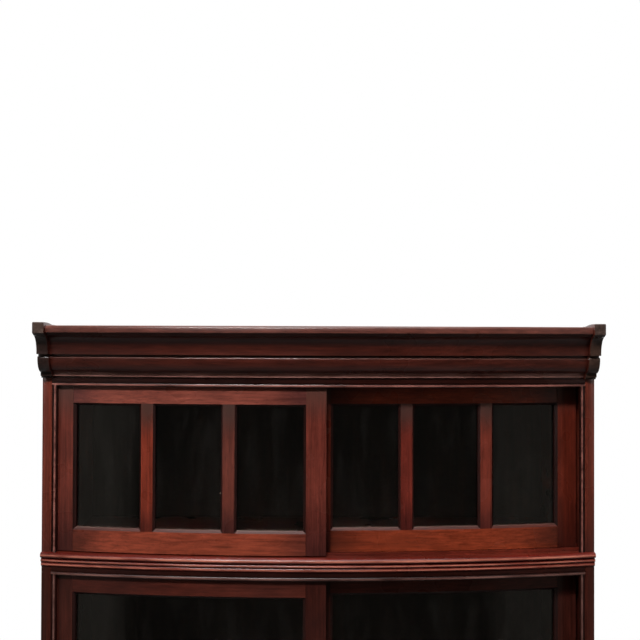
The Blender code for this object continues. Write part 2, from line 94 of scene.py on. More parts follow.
def polished_mahogany(
    name,
    grain,
    dark,
    light,
    roughness=0.30,
    coat=0.30,
    darkened_ends=None,
    shaded_foot=None,
    crest_wear_and_highlight=None,
    sheen_and_shade_top=None,
    seed=0.0,
):
    """Stained and polished mahogany: long figure, fine streaks, open pores and an uneven polish.

    A piece's place map says where its colour changes: how far along the darkening towards its ends
    begins (on glazing bars this is painted shade from the rails), and how far up the painted shade
    at its foot reaches, where the light falls off downward. The crest colour lightens its crests,
    for wear and as a painted highlight, and the last setting is how far up the painted greyish
    sheen and shade of its upper end begins.
    """
    streak_depth, relief = 0.42, 0.12
    # Tint multiplied in for the darkening towards the ends and the painted shade at the foot.
    darkening_tint = (0.42, 0.46, 0.56, 1)
    # Greyish colour of the painted sheen and shade at the upper end.
    top_sheen_and_shade = (0.052, 0.0290, 0.0230, 1)
    material = bpy.data.materials.new(name)
    material.use_nodes = True
    tree = material.node_tree
    nodes, links = tree.nodes, tree.links
    shader = nodes["Principled BSDF"]
    shader.inputs["IOR"].default_value = 1.5
    shader.inputs["Coat Weight"].default_value = coat
    shader.inputs["Specular IOR Level"].default_value = 0.25
    shader.inputs["Coat Roughness"].default_value = 0.11
    position = nodes.new("ShaderNodeTexCoord").outputs["Object"]

    def stretched(across, along):
        mapping = nodes.new("ShaderNodeMapping")
        mapping.inputs["Location"].default_value = (seed, seed * 0.7, seed * 1.3)
        scale = [across, across, across]
        scale["XYZ".index(grain)] = along
        mapping.inputs["Scale"].default_value = scale
        links.new(position, mapping.inputs["Vector"])
        return mapping.outputs["Vector"]

    def clouds(vector, scale, detail, low, high, rough=0.6):
        noise = nodes.new("ShaderNodeTexNoise")
        noise.inputs["Scale"].default_value = scale
        noise.inputs["Detail"].default_value = detail
        noise.inputs["Roughness"].default_value = rough
        links.new(vector, noise.inputs["Vector"])
        return ramp(tree, noise.outputs["Fac"], low, high)

    def place_on_piece(direction):
        place = nodes.new("ShaderNodeUVMap")
        place.uv_map = "place"
        split = nodes.new("ShaderNodeSeparateXYZ")
        links.new(place.outputs["UV"], split.inputs["Vector"])
        return split.outputs[direction]

    def blend(kind, factor, first, second):
        mix = nodes.new("ShaderNodeMix")
        mix.data_type = "RGBA"
        mix.blend_type = kind
        for title, value in (("Factor", factor), ("A", first), ("B", second)):
            socket = mix.inputs[title]
            if isinstance(value, bpy.types.NodeSocket):
                links.new(value, socket)
            else:
                socket.default_value = value
        return mix.outputs["Result"]

    figure = clouds(stretched(14, 1.6), 1, 3, 0.32, 0.68)
    streaks = clouds(stretched(330, 9), 1, 4, 0.30, 0.72)
    pores = clouds(stretched(1500, 70), 1, 2, 0.60, 0.74)
    patina = clouds(position, 6, 3, 0.35, 0.70)
    tone = blend("MIX", figure, (*dark, 1), (*light, 1))
    shade = ramp(tree, streaks, low=1 - streak_depth, high=1 + streak_depth * 0.6)
    tone = blend("MULTIPLY", 1.0, tone, shade)
    patches = clouds(stretched(70, 22), 1, 4, 0.32, 0.68, 0.7)
    tone = blend("MULTIPLY", 1.0, tone, ramp(tree, patches, low=0.74, high=1.18))
    tone = blend("MIX", pores, tone, (*[c * 0.35 for c in dark], 1))
    # Darker towards the ends; on glazing bars this paints the shade that the rails cast.
    if darkened_ends:
        darkening = ramp(tree, place_on_piece("X"), darkened_ends, smooth=True)
        tone = blend("MULTIPLY", darkening, tone, darkening_tint)
    # Painted shade towards the foot, where the light falls off downward.
    if shaded_foot:
        darkening = ramp(tree, place_on_piece("Y"), 0.0, shaded_foot, 1.0, 0.0, smooth=True)
        tone = blend("MULTIPLY", darkening, tone, darkening_tint)
    # Crests lightened for wear and as a painted highlight.
    if crest_wear_and_highlight:
        crest = ramp(tree, place_on_piece("Y"), 0.72, smooth=True)
        crest_lightening = reckon(tree, "MULTIPLY", crest, clouds(stretched(60, 12), 1, 3, 0.25, 0.60))
        tone = blend("MIX", crest_lightening, tone, (*crest_wear_and_highlight, 1))
    # Painted greyish sheen and shade over the upper end.
    if sheen_and_shade_top:
        top_blend = ramp(tree, place_on_piece("Y"), sheen_and_shade_top, high=0.62, smooth=True)
        tone = blend("MIX", top_blend, tone, top_sheen_and_shade)
    links.new(tone, shader.inputs["Base Color"])
    gloss = ramp(tree, patina, low=roughness - 0.06, high=roughness + 0.10)
    links.new(gloss, shader.inputs["Roughness"])
    surface = nodes.new("ShaderNodeMath")
    surface.operation = "MULTIPLY_ADD"
    surface.inputs[1].default_value = -0.6
    links.new(pores, surface.inputs[0])
    links.new(streaks, surface.inputs[2])
    bump = nodes.new("ShaderNodeBump")
    bump.inputs["Strength"].default_value = relief
    bump.inputs["Distance"].default_value = 0.0001
    links.new(surface.outputs["Value"], bump.inputs["Height"])
    links.new(bump.outputs["Normal"], shader.inputs["Normal"])
    return material


def bowed_bar(section, half_length, steps=72):
    """A bar of one (forward, height) section turned about the bow axis, with ends sawn square."""
    bm = bmesh.new()
    corners = [bm.verts.new((0, bow_axis_y - face_radius - out, up)) for out, up in section]
    bm.faces.new(corners)
    axis = (0, bow_axis_y, 0)
    reach = asin(half_length / (face_radius + min(out for out, up in section))) * 1.01
    bmesh.ops.rotate(bm, verts=bm.verts, cent=axis, matrix=Matrix.Rotation(-reach, 3, "Z"))
    everything = bm.verts[:] + bm.edges[:] + bm.faces[:]
    bmesh.ops.spin(
        bm, geom=everything, cent=axis, axis=(0, 0, 1), angle=2 * reach, steps=steps
    )
    for side in (1, -1):
        saw_off(bm, (side * half_length, 0, 0), (side, 0, 0))
    return bm


def cut_through(bm, point, normal, waste=False):
    """Cut a solid along a plane; waste throws away what lies beyond it."""
    everything = bm.verts[:] + bm.edges[:] + bm.faces[:]
    return bmesh.ops.bisect_plane(
        bm, geom=everything, dist=1e-7, plane_co=point, plane_no=normal, clear_outer=waste
    )["geom_cut"]


def saw_off(bm, point, outward):
    """Cut a solid at a plane and close the sawn face."""
    cut = cut_through(bm, point, outward, waste=True)
    bmesh.ops.holes_fill(bm, edges=[item for item in cut if isinstance(item, bmesh.types.BMEdge)])


def drawn_out(bm, corners, way):
    """A solid drawn out from a flat outline; gives all its corners."""
    face = bm.faces.new([bm.verts.new(corner) for corner in corners])
    grown = bmesh.ops.extrude_face_region(bm, geom=[face])
    moved = [item for item in grown["geom"] if isinstance(item, bmesh.types.BMVert)]
    bmesh.ops.translate(bm, verts=moved, vec=way)
    return list(face.verts) + moved


def run_across(edge):
    """How far an edge runs across the case."""
    return abs(edge.verts[0].co.x - edge.verts[1].co.x)


def ease(bm, edges, width, segments):
    """Take the sharpness off arrises: one segment is a flat bevel, two are rounded."""
    bmesh.ops.bevel(
        bm, geom=edges, offset=width, segments=segments, profile=0.5, affect="EDGES", material=-1
    )


def round_stroke(centre, radii, start, end, steps=14):
    """Points along a round member of a moulding; angles in degrees."""
    turns = [radians(start + (end - start) * i / steps) for i in range(steps + 1)]
    return [(centre[0] + radii[0] * cos(turn), centre[1] + radii[1] * sin(turn)) for turn in turns]


def end_board(outline, inner, outer, arris=0.0007):
    """An upright board across the end of the case, cut to a (forward, height) outline."""
    bm = bmesh.new()
    corners = [(inner, front_line - out, up) for out, up in outline]
    drawn_out(bm, corners, (outer - inner, 0, 0))
    bmesh.ops.recalc_face_normals(bm, faces=bm.faces)
    ease(bm, [edge for edge in bm.edges if run_across(edge) < hair], arris, 2)
    return bm


def mark_place(bm, along, up):
    """Give each corner its place on the piece: along(position) and up(position), as a flat map."""
    layer = bm.loops.layers.uv.new("place")
    for face in bm.faces:
        for loop in face.loops:
            loop[layer].uv = (along(loop.vert.co), up(loop.vert.co))


def hang_on(bm, name, body, wood, stands_for):
    """Finish a piece: smooth its curves, give it its wood, and let it ride on its CAD body."""
    bmesh.ops.recalc_face_normals(bm, faces=bm.faces)
    mesh = bpy.data.meshes.new(name)
    bm.to_mesh(mesh)
    bm.free()
    mesh.shade_smooth()
    mesh.set_sharp_from_angle(angle=radians(35))
    for material in wood if isinstance(wood, list) else [wood]:
        mesh.materials.append(material)
    piece = bpy.data.objects.new(name, mesh)
    bpy.context.scene.collection.objects.link(piece)
    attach(piece, body)
    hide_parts(*stands_for)


case_along = polished_mahogany(
    "case_mahogany_grain_across", "X", (0.058, 0.0098, 0.0058), (0.120, 0.0210, 0.0105)
)
# Section 1's side boards darken towards the foot: painted shade, where the light falls off
# downward.
case_upright = polished_mahogany(
    "case_mahogany_grain_upright",
    "Z",
    (0.086, 0.0155, 0.0090),
    (0.150, 0.0290, 0.0160),
    shaded_foot=0.42,
)
case_side = polished_mahogany(
    "case_side_mahogany", "Z", (0.044, 0.0080, 0.0048), (0.084, 0.0160, 0.0092), seed=6.6
)
case_endwise = polished_mahogany(
    "case_mahogany_grain_front_to_back", "Y", (0.050, 0.0095, 0.0060), (0.095, 0.0190, 0.0105)
)

plinth_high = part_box("base_front")[1]
plinth_out = front_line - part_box("base_end_left")[0].y
board_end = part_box("base_end_right")[0].x
arc_gain = sqrt(face_radius**2 - board_end**2) - face_end
hollow_deep, hollow_tall = 0.012, 0.016
hollow_top = plinth_high.z - 0.0117
hollow_lip = 0.002
front_back = -0.018


def plinth_outline(out):
    """Front of the plinth from its foot to over its hollow, as (forward, height)."""
    return (
        [(out, 0.0), (out, hollow_top - hollow_tall - hollow_lip)]
        + round_stroke((out, hollow_top), (hollow_deep, hollow_tall), -90, -180)
        + [(out - hollow_deep, plinth_high.z)]
    )


plinth_front = bowed_bar(
    plinth_outline(plinth_out - arc_gain) + [(front_back, plinth_high.z), (front_back, 0)],
    board_end - seam,
)
hang_on(plinth_front, "plinth_front", "case", case_along, ["base_front"])
for side, sign in (("left", -1), ("right", 1)):
    outline = plinth_outline(plinth_out) + [(board_back, plinth_high.z), (board_back, 0)]
    board = end_board(outline, sign * board_end, sign * half_width)
    hang_on(board, f"plinth_end_{side}", "case", case_endwise, [f"base_end_{side}"])

# ---------------------------------------------------------------- carcass of each section
# Each section is an open box of thin boards. The side boards are polished and their front edges are
# planed to the bow; the top, bottom and back are a plainer wood under a thin dark stain. The top
# and back are made darker still, painted shade for the inside of the case.

# Dark stain made darker still: painted shade inside the case.
stained_shaded_inside = polished_mahogany(
    "stained_carcass_wood_painted_shade",
    "X",
    (0.016, 0.0065, 0.0045),
    (0.034, 0.0130, 0.0085),
    roughness=0.55,
    coat=0.0,
)
stained_shaded_back = polished_mahogany(
    "stained_back_panel_painted_shade",
    "Z",
    (0.016, 0.0065, 0.0045),
    (0.034, 0.0130, 0.0085),
    roughness=0.6,
    coat=0.0,
)
for name in ("base_top_board", "base_back_rail", "crown_dust_board", "crown_back_rail"):
    frame["nodes"][name].material_slots[0].material = stained_shaded_inside

sill_wood = polished_mahogany(
    "bottom_board_mahogany",
    "X",
    (0.060, 0.0078, 0.0045),
    (0.120, 0.0165, 0.0085),
    coat=0.15,
    seed=3.4,
)
# Sections 2 to 4 take a darker copy of the upright wood: painted shade, where the light falls off
# below the top section.
lower_shaded_upright = polished_mahogany(
    "lower_case_mahogany_upright_painted_shade",
    "Z",
    (0.024, 0.0044, 0.0028),
    (0.046, 0.0086, 0.0052),
    seed=6.1,
)
front_edge_wood, outer_face_wood = 0, 1

for number in (1, 2, 3, 4):
    frame["nodes"][f"section_{number}_top_board"].material_slots[0].material = stained_shaded_inside
    frame["nodes"][f"section_{number}_bottom_board"].material_slots[0].material = sill_wood
    frame["nodes"][f"section_{number}_back_panel"].material_slots[0].material = stained_shaded_back
    for side, sign in (("left", -1), ("right", 1)):
        low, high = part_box(f"section_{number}_side_{side}")
        back_low, back_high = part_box(f"section_{number}_back_panel")
        rebate_front, rebate_side = back_low.y, back_high.x + seam
        inner_front = bow_axis_y - sqrt(face_radius**2 - jamb**2)
        plan = [
            (half_width, front_line),
            (half_width, case_back),
            (rebate_side, case_back),
            (rebate_side, rebate_front),
            (jamb, rebate_front),
            (jamb, inner_front),
        ]
        bm = bmesh.new()
        drawn_out(bm, [(sign * x, y, low.z) for x, y in plan], (0, 0, high.z - low.z))
        bmesh.ops.recalc_face_normals(bm, faces=bm.faces)
        arrises = [
            edge
            for edge in bm.edges
            if run_across(edge) < hair
            and (edge.verts[0].co.y + edge.verts[1].co.y) / 2 < front_line + 1e-4
        ]
        ease(bm, arrises, 0.0006, 2)
        mark_place(bm, lambda at: 0.0, lambda at: (at.z - low.z) / (high.z - low.z))
        for face in bm.faces:
            face.normal_update()
            outward = face.normal.x * sign > 0.7
            face.material_index = outer_face_wood if outward else front_edge_wood
        hang_on(
            bm,
            f"section_{number}_side_board_{side}",
            "case",
            [case_upright if number == 1 else lower_shaded_upright, case_side],
            [f"section_{number}_side_{side}"],
        )

# ---------------------------------------------------------------- beaded strips
# A thin strip is let in round the top and both sides of each opening, mitred at the corners. Its
# inner edge carries a small bead with a quirk beside it, which the polish has filled unevenly.

strip_depth = 0.005
strip_width = 0.0085
bead_width, bead_proud, quirk = 0.0056, 0.0018, 0.0012


def forward(at):
    """How far a place stands in front of the bow that the fronts follow."""
    return hypot(at.x, bow_axis_y - at.y) - face_radius


def beaded_edge(width):
    """Section of the strip as (forward, distance from its beaded edge)."""
    bead = round_stroke((0, bead_width / 2), (bead_proud, bead_width / 2), -90, 90, 12)
    return (
        [(-strip_depth, 0)]
        + bead
        + [(-quirk, bead_width), (-quirk, bead_width + quirk), (0, bead_width + quirk)]
        + [(0, width), (-strip_depth, width)]
    )


# Bead crests are lightened for wear and as a painted highlight.
strip_woods = {
    1: polished_mahogany(
        "strip_mahogany",
        "X",
        (0.009, 0.0014, 0.0009),
        (0.019, 0.0030, 0.0018),
        coat=0.12,
        crest_wear_and_highlight=(0.225, 0.084, 0.068),
    ),
    2: polished_mahogany(
        "lower_strip_mahogany",
        "X",
        (0.012, 0.0022, 0.0015),
        (0.024, 0.0046, 0.0030),
        coat=0.06,
        crest_wear_and_highlight=(0.130, 0.062, 0.052),
    ),
}
for number in (1, 2, 3, 4):
    low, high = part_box(f"section_{number}_bead_strip")
    top_low, top_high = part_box(f"section_{number}_top_board")
    thickness = top_high.z - top_low.z
    under = high.z - thickness
    edge_section = [(out, under + up) for out, up in beaded_edge(thickness)]
    head = bowed_bar(edge_section, jamb - seam)
    corner = jamb - strip_width
    for sign in (1, -1):
        legs = bmesh.new()
        plan = []
        for out, inward in beaded_edge(strip_width - seam):
            angle = asin((corner + inward) / face_radius)
            reach = face_radius + out
            plan.append((sign * reach * sin(angle), bow_axis_y - reach * cos(angle), low.z))
        drawn_out(legs, plan, (0, 0, under + strip_width - low.z))
        saw_off(legs, (sign * corner, 0, under), (-sign, 0, 1))
        bmesh.ops.recalc_face_normals(legs, faces=legs.faces)
        scrap = bpy.data.meshes.new("strip_leg")
        legs.to_mesh(scrap)
        legs.free()
        head.from_mesh(scrap)
        bpy.data.meshes.remove(scrap)
    mark_place(head, lambda at: 0.0, lambda at: forward(at) / bead_proud)
    hang_on(
        head,
        f"section_{number}_opening_strip",
        "case",
        strip_woods[min(number, 2)],
        [f"section_{number}_bead_strip"],
    )

# ---------------------------------------------------------------- reeded rails
# Under the doors of each section a rail is planted across the front, worked with three reeds that
# stand further forward towards the top. Their crests are lightened for the wear of use and as a
# painted highlight.

reeds = [(0.0058, 0.0030), (0.0058, 0.0050), (0.0092, 0.0080)]
reed_root, reed_quirk = 0.0012, 0.0007
# Reed crests lightened for wear and as a painted highlight.
reed_wood = polished_mahogany(
    "reed_mahogany_worn_and_highlit",
    "X",
    (0.064, 0.0052, 0.0028),
    (0.130, 0.0110, 0.0056),
    coat=0.15,
    crest_wear_and_highlight=(0.36, 0.118, 0.080),
)


def reed_crest(at, foot):
    """1 on the crest of each reed, falling to 0 in the quirks between them."""
    bottom = foot
    for tall, proud in reeds:
        if at.z < bottom + tall + reed_quirk / 2:
            return ((forward(at) - reed_root) / (proud - reed_root)) ** 2
        bottom += tall + reed_quirk
    return 0.0


for number in (1, 2, 3, 4):
    low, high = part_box(f"section_{number}_reeded_rail")
    section = [(seam, low.z)]
    bottom = low.z
    for tall, proud in reeds:
        middle = (reed_root, bottom + tall / 2)
        section += round_stroke(middle, (proud - reed_root, tall / 2), -90, 90, 12)
        bottom += tall + reed_quirk
    section.append((seam, high.z))
    bar = bowed_bar(section, half_width)
    mark_place(bar, lambda at: 0.0, lambda at: reed_crest(at, low.z))
    hang_on(
        bar,
        f"section_{number}_reeds",
        "case",
        reed_wood,
        [f"section_{number}_reeded_rail"],
    )

# ---------------------------------------------------------------- doors
# Each door is a bowed frame of two upright stiles with two rails between them, jointed and glued,
# a narrow bevel round its bent glass and, in the top section, two glazing bars. It slides on a
# curved runner that its bottom edge straddles. Stiles have upright grain and rails long grain.

door_thickness = 0.019
stile, top_rail, bottom_rail = 0.0361, 0.0345, 0.0383
bevel, door_arris = 0.0040, 0.00035
glass_setback, glass = 0.008, 0.003


def onto_the_bow(bm, radius, middle_angle):
    """Bend a straight piece: x runs along the door, y is depth behind its face."""
    for vert in bm.verts:
        angle = middle_angle + vert.co.x / radius
        reach = radius - vert.co.y
        vert.co.x = reach * sin(angle)
        vert.co.y = bow_axis_y - reach * cos(angle)


def plank(bm, outline, start, end, eased):
    """A plank of one (depth, height) outline along the door; eased picks its arrises."""
    corners = [(start, depth, up) for depth, up in outline]
    verts = set(drawn_out(bm, corners, (end - start, 0, 0)))
    edges = [edge for edge in bm.edges if edge.verts[0] in verts]
    middles = [(edge, (edge.verts[0].co + edge.verts[1].co) / 2) for edge in edges]
    ease(bm, [edge for edge, middle in middles if eased(middle)], door_arris, 1)


def on_face_outline(at, reach, low, high):
    """Whether an arris lies on the door's face, at an end, the foot or the top of a plank."""
    at_end = abs(abs(at.x) - reach) < hair
    return at.y < hair and (at_end or at.z < low.z + hair or at.z > high.z - hair)


def stuck_bevel(bm, reach, bottom, top):
    """The narrow frame round the glass: a bevel at the front and a square wall behind it."""
    sheet = bmesh.ops.create_grid(bm, x_segments=1, y_segments=1, size=0.5)["verts"]
    bmesh.ops.scale(bm, verts=sheet, vec=(2 * reach, top - bottom, 1))
    bmesh.ops.rotate(bm, verts=sheet, matrix=Matrix.Rotation(radians(90), 3, "X"))
    bmesh.ops.translate(bm, verts=sheet, vec=(0, 0, (top + bottom) / 2))
    opening = sheet[0].link_faces[0]
    ring = bmesh.ops.inset_region(
        bm, faces=[opening], thickness=bevel, depth=-bevel, use_boundary=True, use_even_offset=True
    )["faces"]
    inner = list(opening.edges)
    outer = [edge for strip in ring for edge in strip.edges if len(edge.link_faces) == 1]
    bmesh.ops.delete(bm, geom=[opening], context="FACES_ONLY")
    grown = bmesh.ops.extrude_edge_only(bm, edges=inner + outer)
    for item in grown["geom"]:
        if isinstance(item, bmesh.types.BMVert):
            item.co.y = door_thickness
    back = [item for item in grown["geom"] if isinstance(item, bmesh.types.BMEdge)]
    back = [edge for edge in back if all(abs(v.co.y - door_thickness) < hair for v in edge.verts)]
    bmesh.ops.bridge_loops(bm, edges=back)


# The top section's stiles darken towards the foot, painted shade where the light falls off
# downward, and turn greyer at the top end, a painted sheen and shade. The lower sections' stiles
# and rails are darker copies: painted shade, where the light falls off below the top section.
stile_woods = {
    "left": polished_mahogany(
        "left_door_stile_mahogany",
        "Z",
        (0.071, 0.0138, 0.0092),
        (0.128, 0.0258, 0.0168),
        shaded_foot=0.45,
        sheen_and_shade_top=0.74,
        seed=3.1,
    ),
    "right": polished_mahogany(
        "right_door_stile_mahogany",
        "Z",
        (0.062, 0.0090, 0.0048),
        (0.115, 0.0165, 0.0080),
        shaded_foot=0.45,
        sheen_and_shade_top=0.80,
        seed=8.2,
    ),
    "lower": polished_mahogany(
        "lower_door_stile_mahogany_painted_shade",
        "Z",
        (0.025, 0.0050, 0.0034),
        (0.046, 0.0098, 0.0064),
        seed=5.7,
    ),
}
rail_woods = {
    "left": polished_mahogany(
        "left_door_rail_mahogany",
        "X",
        (0.120, 0.0215, 0.0112),
        (0.235, 0.0465, 0.0230),
        darkened_ends=0.60,
        seed=1.9,
    ),
    "right": polished_mahogany(
        "right_door_rail_mahogany",
        "X",
        (0.115, 0.0175, 0.0072),
        (0.225, 0.0370, 0.0140),
        darkened_ends=0.60,
        seed=9.4,
    ),
    "lower": polished_mahogany(
        "lower_door_rail_mahogany_painted_shade",
        "X",
        (0.038, 0.0078, 0.0052),
        (0.073, 0.0152, 0.0096),
        seed=4.3,
    ),
}
head_rail_woods = {
    "left": polished_mahogany(
        "left_door_head_rail_mahogany",
        "X",
        (0.128, 0.0310, 0.0215),
        (0.250, 0.0650, 0.0435),
        darkened_ends=0.60,
        seed=6.6,
    ),
    "right": rail_woods["right"],
    "lower": rail_woods["lower"],
}
bar_tones = {
    ("left", 1): ((0.122, 0.0185, 0.0098), (0.222, 0.0365, 0.0180), 2.7),
    ("left", 2): ((0.070, 0.0170, 0.0115), (0.125, 0.0310, 0.0210), 4.9),
    ("right", 1): ((0.072, 0.0105, 0.0068), (0.128, 0.0190, 0.0120), 7.1),
    ("right", 2): ((0.085, 0.0155, 0.0095), (0.155, 0.0280, 0.0170), 1.3),
}
# Glazing bars darken towards both ends, painted shade from the rails at their tops, and turn greyer
# at the upper end, a painted sheen and shade.
bar_woods = {
    (side, place): polished_mahogany(
        f"{side}_door_bar_{place}_mahogany",
        "Z",
        dark,
        light,
        darkened_ends=0.45,
        sheen_and_shade_top=0.72,
        seed=seed,
    )
    for (side, place), (dark, light, seed) in bar_tones.items()
}
# Lit and shaded copies for the bevels round the glass: the ones facing down or sideways, and the
# glazing bars' bevels, take a dark copy, painted shade where they face down; the one at the foot,
# facing up, takes a lighter copy, a painted highlight with wear.
shaded_dark_bevel = polished_mahogany(
    "sunk_bevel_dark_and_painted_shade",
    "Z",
    (0.0100, 0.0016, 0.0011),
    (0.0200, 0.0032, 0.0021),
    roughness=0.42,
    coat=0.0,
)
lit_foot_bevel = polished_mahogany(
    "sunk_bevel_worn_and_highlit",
    "X",
    (0.036, 0.0062, 0.0036),
    (0.072, 0.0130, 0.0074),
    roughness=0.45,
    coat=0.0,
    crest_wear_and_highlight=(0.070, 0.038, 0.031),
)


def old_window_glass(name):
    """Bent sheet glass: clear, faintly green, with the slow waves and draw lines of old sheet."""
    material = bpy.data.materials.new(name)
    material.use_nodes = True
    tree = material.node_tree
    nodes, links = tree.nodes, tree.links
    shader = nodes["Principled BSDF"]
    shader.inputs["Base Color"].default_value = (0.80, 0.84, 0.81, 1)
    shader.inputs["Roughness"].default_value = 0.03
    shader.inputs["IOR"].default_value = 1.5
    shader.inputs["Transmission Weight"].default_value = 1.0
    position = nodes.new("ShaderNodeTexCoord").outputs["Object"]
    mapping = nodes.new("ShaderNodeMapping")
    mapping.inputs["Scale"].default_value = (26, 26, 3.5)
    waves = nodes.new("ShaderNodeTexNoise")
    waves.inputs["Scale"].default_value = 1
    waves.inputs["Detail"].default_value = 2
    bump = nodes.new("ShaderNodeBump")
    bump.inputs["Strength"].default_value = 0.5
    bump.inputs["Distance"].default_value = 0.0006
    links.new(position, mapping.inputs["Vector"])
    links.new(mapping.outputs["Vector"], waves.inputs["Vector"])
    links.new(waves.outputs["Fac"], bump.inputs["Height"])
    links.new(bump.outputs["Normal"], shader.inputs["Normal"])
    smears = nodes.new("ShaderNodeTexNoise")
    smears.inputs["Scale"].default_value = 1
    smears.inputs["Detail"].default_value = 5
    smears.inputs["Roughness"].default_value = 0.7
    lengthwise = nodes.new("ShaderNodeMapping")
    lengthwise.inputs["Scale"].default_value = (40, 40, 9)
    links.new(position, lengthwise.inputs["Vector"])
    links.new(lengthwise.outputs["Vector"], smears.inputs["Vector"])
    film = ramp(tree, smears.outputs["Fac"], 0.50, 0.80, high=0.010)
    dust = nodes.new("ShaderNodeBsdfDiffuse")
    dust.inputs["Color"].default_value = (0.50, 0.46, 0.42, 1)
    coated = nodes.new("ShaderNodeMixShader")
    links.new(film, coated.inputs["Fac"])
    links.new(shader.outputs["BSDF"], coated.inputs[1])
    links.new(dust.outputs["BSDF"], coated.inputs[2])
    links.new(coated.outputs["Shader"], nodes["Material Output"].inputs["Surface"])
    return material


pane_glass = old_window_glass("bent_sheet_glass")
setback = {"left": 0.006, "right": 0.032}
groove_half, groove_deep = 0.0025, 0.0035
groove_front, groove_back = door_thickness / 2 - groove_half, door_thickness / 2 + groove_half
stile_face, rail_face, sight_side, sight_foot, head_rail_face = range(5)
slices = 24
# Place-map height for the inner edge of the bevel at the foot of the glass, where its painted
# highlight and wear are strongest.
foot_bevel_lit_crest = 1.1
bar, bar_bevel = 0.025, 0.003

for number in (1, 2, 3, 4):
    for side in ("left", "right"):
        door = f"section_{number}_{side}_door"
        # Sections 2 to 4 take the darker copies of the door woods: painted shade.
        door_tone_and_shade = side if number == 1 else "lower"
        low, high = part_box(f"{door}_frame")
        radius = face_radius - setback[side]
        first, last = asin(low.x / radius), asin(high.x / radius)
        middle, half = (first + last) / 2, radius * (last - first) / 2
        inner = half - stile
        sight_low, sight_high = low.z + bottom_rail, high.z - top_rail
        around = inner + bevel
        groove = [
            (groove_back, low.z),
            (groove_back, low.z + groove_deep),
            (groove_front, low.z + groove_deep),
            (groove_front, low.z),
        ]
        body = [(0, low.z), (0, high.z), (door_thickness, high.z), (door_thickness, low.z)]
        bevel_low, bevel_high = sight_low - bevel, sight_high + bevel
        bm = bmesh.new()
        for start, end in ((-half, -around), (around, half)):
            plank(bm, body + groove, start, end, lambda at: on_face_outline(at, half, low, high))
        stiles = set(bm.faces)
        foot = [(0, low.z), (0, bevel_low), (door_thickness, bevel_low), (door_thickness, low.z)]
        head = [(0, bevel_high), (0, high.z)]
        head += [(door_thickness, high.z), (door_thickness, bevel_high)]
        for outline in (foot + groove, head):
            plank(
                bm, outline, -around, around, lambda at: on_face_outline(at, around, low, high)
            )
        stuck_bevel(bm, around, bevel_low, bevel_high)
        bmesh.ops.recalc_face_normals(bm, faces=bm.faces)
        for face in bm.faces:
            at = face.calc_center_median()
            beside_glass = sight_low - bevel * 1.01 < at.z < sight_high + bevel * 1.01
            sunk = at.y > 1e-5 and beside_glass
            if face in stiles or abs(at.x) > around:
                face.material_index = stile_face
            elif sunk and face.normal.z > 0.5:
                face.material_index = sight_foot
            elif sunk and abs(face.normal.y) < 0.9:
                face.material_index = sight_side
            elif at.z > sight_high:
                face.material_index = head_rail_face
            else:
                face.material_index = rail_face
        for i in range(1, slices):
            cut_through(bm, (-half + 2 * half * i / slices, 0, 0), (1, 0, 0))
        mark_place(
            bm,
            lambda at: min(1.0, abs(at.x) / around),
            lambda at: (
                foot_bevel_lit_crest
                if at.y > 1e-5 and abs(at.z - sight_low) < 1e-5
                else (at.z - low.z) / (high.z - low.z)
            ),
        )
        onto_the_bow(bm, radius, middle)
        hang_on(
            bm,
            f"{door}_joined_frame",
            door,
            [
                stile_woods[door_tone_and_shade],
                rail_woods[door_tone_and_shade],
                shaded_dark_bevel,
                lit_foot_bevel,
                head_rail_woods[door_tone_and_shade],
            ],
            [f"{door}_frame"],
        )

        pane_low, pane_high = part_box(f"{door}_glass")
        lap = sight_low - pane_low.z
        bm = bmesh.new()
        bmesh.ops.create_cube(bm, size=1)
        tall = pane_high.z - pane_low.z
        pane_middle = (0, glass_setback + glass / 2, (pane_high.z + pane_low.z) / 2)
        bmesh.ops.scale(bm, verts=bm.verts, vec=(2 * (inner + lap), glass, tall))
        bmesh.ops.translate(bm, verts=bm.verts, vec=pane_middle)
        along = [edge for edge in bm.edges if run_across(edge) > 1e-3]
        bmesh.ops.subdivide_edges(bm, edges=along, cuts=31, use_grid_fill=True)
        onto_the_bow(bm, radius, middle)
        hang_on(bm, f"{door}_pane", door, pane_glass, [f"{door}_glass"])

        if number > 1:
            continue
        lights = (2 * inner - 2 * bar) / 3
        for i in (0, 1):
            centre = -inner + lights * (i + 1) + bar * (i + 0.5)
            seat = glass_setback - seam
            outline = [(0, bevel_low), (0, bevel_high), (seat, sight_high), (seat, sight_low)]
            place = i + 1 if side == "left" else 2 - i
            bm = bmesh.new()
            corners = [(centre - bar / 2, depth, up) for depth, up in outline]
            drawn_out(bm, corners, (bar, 0, 0))
            bmesh.ops.recalc_face_normals(bm, faces=bm.faces)
            arrises = [
                edge
                for edge in bm.edges
                if all(v.co.y < hair for v in edge.verts) and run_across(edge) < hair
            ]
            ease(bm, arrises, bar_bevel, 1)
            half_up = (sight_low + sight_high) / 2
            cut_through(bm, (0, 0, half_up), (0, 0, 1))
            mark_place(
                bm,
                lambda at: abs(at.z - half_up) / (sight_high - half_up),
                lambda at: (at.z - sight_low) / (sight_high - sight_low),
            )
            for face in bm.faces:
                face.normal_update()
                on_bevel = abs(face.normal.x) > 0.3
                face.material_index = 1 if on_bevel else 0
            onto_the_bow(bm, radius, middle)
            hang_on(
                bm,
                f"{door}_glazing_bar_{place}",
                door,
                [bar_woods[side, i + 1], shaded_dark_bevel],
                [f"{door}_muntin_{place}"],
            )

# ---------------------------------------------------------------- crown
# The crown sits on the top section: a bowed moulding between two end boards cut to the same
# profile. From the foot up it has a fillet, an ovolo, a deep quirk and a cove under a plain fascia,
# and each end board has a square ear that stands above the fascia.

